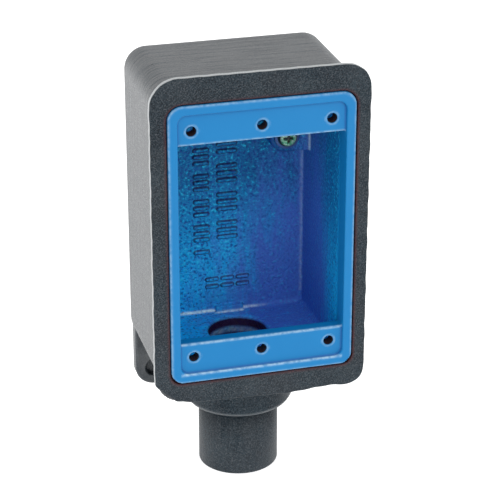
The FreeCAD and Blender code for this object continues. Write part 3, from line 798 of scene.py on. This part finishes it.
def urethane():
    """Bright blue coat: smooth on the machined front, and pebbled on the cast walls inside, with
    painted light that makes it lighter low down, and painted purple shade low on the right."""
    material, tree, shader, place = new_material("blue_urethane", IOR=1.35, Roughness=0.42)
    axes = add_node(tree, "ShaderNodeSeparateXYZ", Vector=place).outputs
    inside = remap(tree, axes["Y"], -0.0485, -0.046)
    # Painted light: low holds a share that makes the inside lighter towards the floor.
    low = arithmetic(tree, "MULTIPLY", remap(tree, axes["Z"], 0.005, -0.049), inside)
    pebbles = grain(tree, place, 1.05, detail=3.0, rough=0.6, seed=2.0)
    fine = grain(tree, place, 0.3, detail=2.0, seed=5.0)
    broad = grain(tree, place, 14.0, detail=2.0, seed=9.0)
    base = blend(tree, broad, (0.001, 0.163, 0.415), (0.003, 0.182, 0.445))
    base = blend(tree, low, base, (0.006, 0.50, 1.0))
    runs = grain(tree, place, 3.0, stretch=(1, 1, 6), detail=3.0, seed=13.0)
    # Painted shade: purple where the inside lies in shade, low on the right and on the right wall.
    purple = remap(tree, arithmetic(tree, "ADD", number_of(tree, "purple_shade"), runs), 0.78, 1.42)
    base = blend(tree, arithmetic(tree, "MULTIPLY", purple, inside), base, (0.060, 0.17, 0.62))
    # Painted glints and painted shade: pale specks on the pebbles' tops and dark hollows between them. Both stay
    # out of the painted purple shade; thick is that lit share, not a thickness.
    thick = arithmetic(tree, "MULTIPLY", remap(tree, purple, 0.1, 0.9, 0.85, 0.25), inside)
    specks = arithmetic(tree, "MULTIPLY", remap(tree, pebbles, 0.56, 0.68), thick)
    base = blend(tree, specks, base, (0.02, 0.62, 0.90))
    pits = arithmetic(tree, "MULTIPLY", remap(tree, pebbles, 0.47, 0.36), thick)
    base = blend(tree, pits, base, (0.006, 0.06, 0.30))
    # Painted highlights: near white where the highlight number is set, broken up by noise.
    broken = remap(tree, grain(tree, place, 1.6, seed=12.0), 0.35, 0.6, 0.35, 1.0)
    painted_highlight = arithmetic(tree, "MULTIPLY", number_of(tree, "painted_highlight"), broken)
    base = blend(tree, painted_highlight, base, (0.80, 1.0, 1.0))
    # Painted shade: dark blue at the recess step and beside the boss.
    base = blend(tree, number_of(tree, "shade"), base, (0.004, 0.05, 0.26))
    # Painted shade: near-black purple inside the throat and on the marks' flanks.
    base = blend(tree, number_of(tree, "deep_shade"), base, (0.020, 0.006, 0.050))
    tree.links.new(base, shader.inputs["Base Color"])
    height = arithmetic(tree, "MULTIPLY", pebbles, inside)
    emboss(tree, shader, [(height, 0.9), (fine, 0.012)])
    return material


def iron():
    """Dark cast iron with a dull red primer."""
    material, tree, shader, place = new_material("primed_iron", Metallic=0.0, Roughness=0.75)
    patches = grain(tree, place, 2.5, seed=4.0)
    fine = grain(tree, place, 0.4, seed=6.0)
    base = blend(tree, remap(tree, patches, 0.4, 0.6), (0.035, 0.009, 0.010), (0.016, 0.010, 0.011))
    tree.links.new(base, shader.inputs["Base Color"])
    emboss(tree, shader, [(fine, 0.1)])
    return material


def screw_green():
    """Green-dyed steel: a mottle whose pale patches are painted highlights, and painted shade down in the recess.
    """
    material, tree, shader, place = new_material("dyed_screw", IOR=1.6)
    depth = add_node(tree, "ShaderNodeSeparateXYZ", Vector=place).outputs["Y"]
    mottle = grain(tree, place, 0.8, seed=8.0)
    # Green dye mottle; its pale patches are painted highlights.
    dye_and_highlight = blend(tree, remap(tree, mottle, 0.4, 0.65), (0.08, 0.45, 0.22), (0.72, 0.95, 0.76))
    # Painted shade: near black down in the cross recess.
    sunk = remap(tree, depth, (SCREW_LOW[1] + 0.7) * MM, (SCREW_LOW[1] + 1.2) * MM)
    base = blend(tree, sunk, dye_and_highlight, (0.01, 0.02, 0.015))
    tree.links.new(base, shader.inputs["Base Color"])
    tree.links.new(remap(tree, mottle, 0.3, 0.7, 0.25, 0.45), shader.inputs["Roughness"])
    emboss(tree, shader, [(mottle, 0.03)])
    return material


def zinc():
    """Dull zinc plate, whose blue-grey mottle is a painted reflection of the blue inside."""
    material, tree, shader, place = new_material("zinc_plate", Metallic=1.0)
    mottle = grain(tree, place, 0.7, seed=11.0)
    # Painted reflection: blue-grey base colour for the blue inside seen in the zinc.
    base = blend(tree, mottle, (0.04, 0.08, 0.22), (0.10, 0.17, 0.36))
    tree.links.new(base, shader.inputs["Base Color"])
    tree.links.new(remap(tree, mottle, 0.3, 0.7, 0.35, 0.6), shader.inputs["Roughness"])
    emboss(tree, shader, [(mottle, 0.03)])
    return material


coat = vinyl("coat_vinyl", 1.5, 0.16, streaks=0.22, bloom_share=0.6, shine=0.64, shine_swing=0.36)
lip_vinyl = vinyl("lip_vinyl", 1.38, 0.35, streaks=0.03)
collar_vinyl = vinyl("collar_vinyl", 1.28, 0.20)
sleeve_vinyl = vinyl("sleeve_vinyl", 1.4, 0.22)
blue = urethane()
raw = iron()
dyed = screw_green()
plated = zinc()


# Pieces

casting = frame["nodes"]["box_casting"]
casting.data.materials.clear()
casting.data.materials.append(raw)

lip_lines = (
    grid_lines(-40, 40, 0.6, 0.6),
    grid_lines(-55.4, -51.6, 0.3, 0.3),
    grid_lines(-62, 62, 0.6, 0.6),
)
lip = new_piece("trimmed_lip", surface(front_lip, lip_lines), "box", lip_vinyl)
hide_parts("face_lip")
# Painted highlight along the lip's cut edge.
mark(lip, "painted_highlight", lip_edge_highlight)
mark(lip, "stain", beside_rim)

# The vinyl is one surface. It becomes the jacket and the collar, which overlap by a narrow band.
# What the lip and the sleeve hide is dropped.

coat_lines = (
    grid_lines(-38.5, 38.5, 1.2, 0.6, [(-38.5, -33.0), (-29.5, -26.0), (26.0, 29.5), (33.0, 38.5)]),
    grid_lines(-53.5, 1.2, 1.2, 0.6, [(-51.0, -46.0), (-6.5, 1.2)]),
    grid_lines(-78, 61, 1.2, 0.6, [(-78, -72), (-61, -53), (53, 61)]),
)
whole_coat = surface(coat_outside, coat_lines)
x, y, z = whole_coat[0].T
from_hub = np.hypot(x, y - HUB_Y)
in_flange = rectangle(x, z, FLANGE_HALF, FLANGE_CORNER) < -0.6
shown = (y > LIP_HIGH[1] + 0.05) | ~in_flange
shown &= (from_hub > SLEEVE_HIGH[0] - 0.3) | (z > COLLAR_LOW[2] + 0.5)
at_collar = (from_hub < COLLAR_REACH) & (z < COLLAR_START)
near_collar = (from_hub < COLLAR_REACH + 1.2) & (z < COLLAR_START + 1.4)
jacket_shape = keep_only(whole_coat, shown & ~at_collar)
jacket = new_piece("dipped_jacket", jacket_shape, "box", coat)
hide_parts("body_jacket")
collar_shape = keep_only(whole_coat, shown & near_collar)
collar = new_piece("collar_bowl", collar_shape, "box", collar_vinyl)
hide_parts("hub_collar")
# Painted highlight round the collar's lower edge.
mark(collar, "painted_highlight", collar_highlight)

lining_lines = (
    grid_lines(-33.6, 33.6, 1.2, 0.48, [(-33.6, -22), (-2.6, 2.6), (22, 33.6)]),
    grid_lines(-55.6, -3.4, 1.2, 0.4, [(-55.6, -52.6), (-49.8, -47.6), (-14.6, -12.6), (-7.0, -3.4)]),
    grid_lines(-61, 52, 1.2, 0.48, [(-52, -34.5), (34.5, 52)]),
)
whole_lining = surface(lined, lining_lines)
x, y, z = whole_lining[0].T
on_front = (y < FLANGE_FRONT + 0.1) & (rectangle(x, z, RIM_HALF, RIM_CORNER) < 0.2)
in_space = cavity_void(x, y, z) < 0.35
in_ground_hole = (np.hypot(x - BOSS_X, z - BOSS_Z) < 4) & (y > BOSS_FACE + 0.35)
film = keep_only(whole_lining, (on_front | in_space) & ~in_ground_hole)
lining = new_piece("blue_lining", thicken(film, FILM), "box", blue)
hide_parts("cavity_lining")
# Painted highlights along the lining's edges.
mark(lining, "painted_highlight", painted_highlight_edges)
# Painted shade at the recess step and beside the boss.
mark(lining, "shade", painted_shade_edges)
# Painted purple shade low on the right of the inside.
mark(lining, "purple_shade", purple_shade_share)
# Painted shade inside the throat.
mark(lining, "deep_shade", throat_shade)

mark_lines = (
    grid_lines(-14, 11, 0.35, 0.35),
    grid_lines(-5.45, -3.8, 0.25, 0.25),
    grid_lines(-42.5, 27.5, 0.3, 0.3),
)
marks = new_piece("cast_marks", surface(cast_marks, mark_lines), "box", blue)
# Painted shade on the marks' sides.
mark(marks, "deep_shade", mark_flank_shade)
# Painted purple shade on the marks low on the right.
mark(marks, "purple_shade", purple_shade_share)

chamfer = 0.1
sleeve_profile = [
    (SLEEVE_BORE, HUB_END),
    (SLEEVE_BORE, SLEEVE_LOW[2] + SLEEVE_ROUND),
    (SLEEVE_BORE + chamfer, SLEEVE_LOW[2] + chamfer),
    (SLEEVE_BORE + SLEEVE_ROUND, SLEEVE_LOW[2]),
    (SLEEVE_HIGH[0] - SLEEVE_ROUND, SLEEVE_LOW[2]),
    (SLEEVE_HIGH[0] - chamfer, SLEEVE_LOW[2] + chamfer),
    (SLEEVE_HIGH[0], SLEEVE_LOW[2] + SLEEVE_ROUND),
    (SLEEVE_HIGH[0], HUB_END),
]
sleeve_shape = lathe(sleeve_profile, (0.0, HUB_Y))
sleeve = new_piece("conduit_sleeve", sleeve_shape, "box", sleeve_vinyl)
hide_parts("hub_sleeve")

screw_lines = grid_round(SCREW_LOW, SCREW_HIGH, (0.15, 0.15, 0.15))
screw = new_piece("green_screw", surface(screw_shape, screw_lines), "screw", dyed)
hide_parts("ground_screw")

washer_lines = grid_round(WASHER_LOW, WASHER_HIGH, (0.2, 0.15, 0.2))
washer = new_piece("flat_washer", surface(washer_shape, washer_lines), "washer", plated)
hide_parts("ground_washer")


# Floor, light and camera, in metres

FLOOR_REACH = 3.0
FLOOR_Z = SLEEVE_LOW[2] * MM


def paper():
    """Pale paper that glows behind the box and fades towards the front and the right."""
    material, tree, shader, place = new_material("paper", Roughness=0.9)
    tone = blend(tree, grain(tree, place, 60.0), (0.90, 0.90, 0.90), (0.93, 0.93, 0.93))
    tree.links.new(tone, shader.inputs["Base Color"])
    tree.links.new(tone, shader.inputs["Emission Color"])
    axes = add_node(tree, "ShaderNodeSeparateXYZ", Vector=place).outputs
    depth_share = remap(tree, axes["Y"], -0.22, -0.07)
    left_share = remap(tree, axes["X"], -0.35, 0.05, 1.5, 0.45)
    glow = arithmetic(tree, "MULTIPLY", depth_share, left_share)
    tree.links.new(glow, shader.inputs["Emission Strength"])
    return material


floor_mesh = bpy.data.meshes.new("floor")
floor_corners = [(-1, -1), (1, -1), (1, 1), (-1, 1)]
floor_points = [(FLOOR_REACH * across, FLOOR_REACH * deep, FLOOR_Z) for across, deep in floor_corners]
floor_mesh.from_pydata(floor_points, [], [(0, 1, 2, 3)])
floor_mesh.materials.append(paper())
floor = bpy.data.objects.new("floor", floor_mesh)
bpy.context.scene.collection.objects.link(floor)

world = bpy.data.worlds.new("soft_room")
world.use_nodes = True
sky = world.node_tree
background = sky.nodes["Background"]
sky_way = sky.nodes.new("ShaderNodeTexCoord").outputs["Generated"]
sky_depth = add_node(sky, "ShaderNodeSeparateXYZ", Vector=sky_way).outputs["Y"]
sky.links.new(remap(sky, sky_depth, -0.2, 0.6, 1.0, 1.3), background.inputs["Strength"])
background.inputs["Color"].default_value = (1.0, 1.0, 1.0, 1.0)
bpy.context.scene.world = world
bpy.context.scene.view_settings.view_transform = "Standard"


def soft_light(name, place, aim, wide, watts):
    light = bpy.data.lights.new(name, "AREA")
    light.shape = "DISK"
    light.size = wide
    light.energy = watts
    lamp = bpy.data.objects.new(name, light)
    lamp.location = place
    lamp.rotation_euler = (Vector(aim) - Vector(place)).to_track_quat("-Z", "Y").to_euler()
    bpy.context.scene.collection.objects.link(lamp)


soft_light("key", (0.30, -0.62, 0.02), (0.0, -0.03, 0.0), 0.12, 0.50)
soft_light("top", (0.0, -0.60, 0.55), (0.0, -0.03, -0.03), 0.25, 1.15)

CAMERA_AZIMUTH = math.radians(-15.33)
CAMERA_ELEVATION = math.radians(24.22)
CAMERA_DISTANCE = 0.6708
LENS_MM = 141.94
AIM_LEFT = 0.00449
AIM_DOWN = 0.00304

level = math.cos(CAMERA_ELEVATION)
back = Vector((
    math.sin(CAMERA_AZIMUTH) * level,
    -math.cos(CAMERA_AZIMUTH) * level,
    math.sin(CAMERA_ELEVATION),
))
right = Vector((math.cos(CAMERA_AZIMUTH), math.sin(CAMERA_AZIMUTH), 0.0))
up = back.cross(right)
aim = Vector((0.0, -0.055, 0.0)) - right * AIM_LEFT - up * AIM_DOWN
lens = bpy.data.cameras.new("camera")
lens.lens = LENS_MM
lens.sensor_width = 36.0
camera = bpy.data.objects.new("camera", lens)
camera.location = aim + back * CAMERA_DISTANCE
camera.rotation_euler = back.to_track_quat("Z", "Y").to_euler()
bpy.context.scene.collection.objects.link(camera)
bpy.context.scene.camera = camera
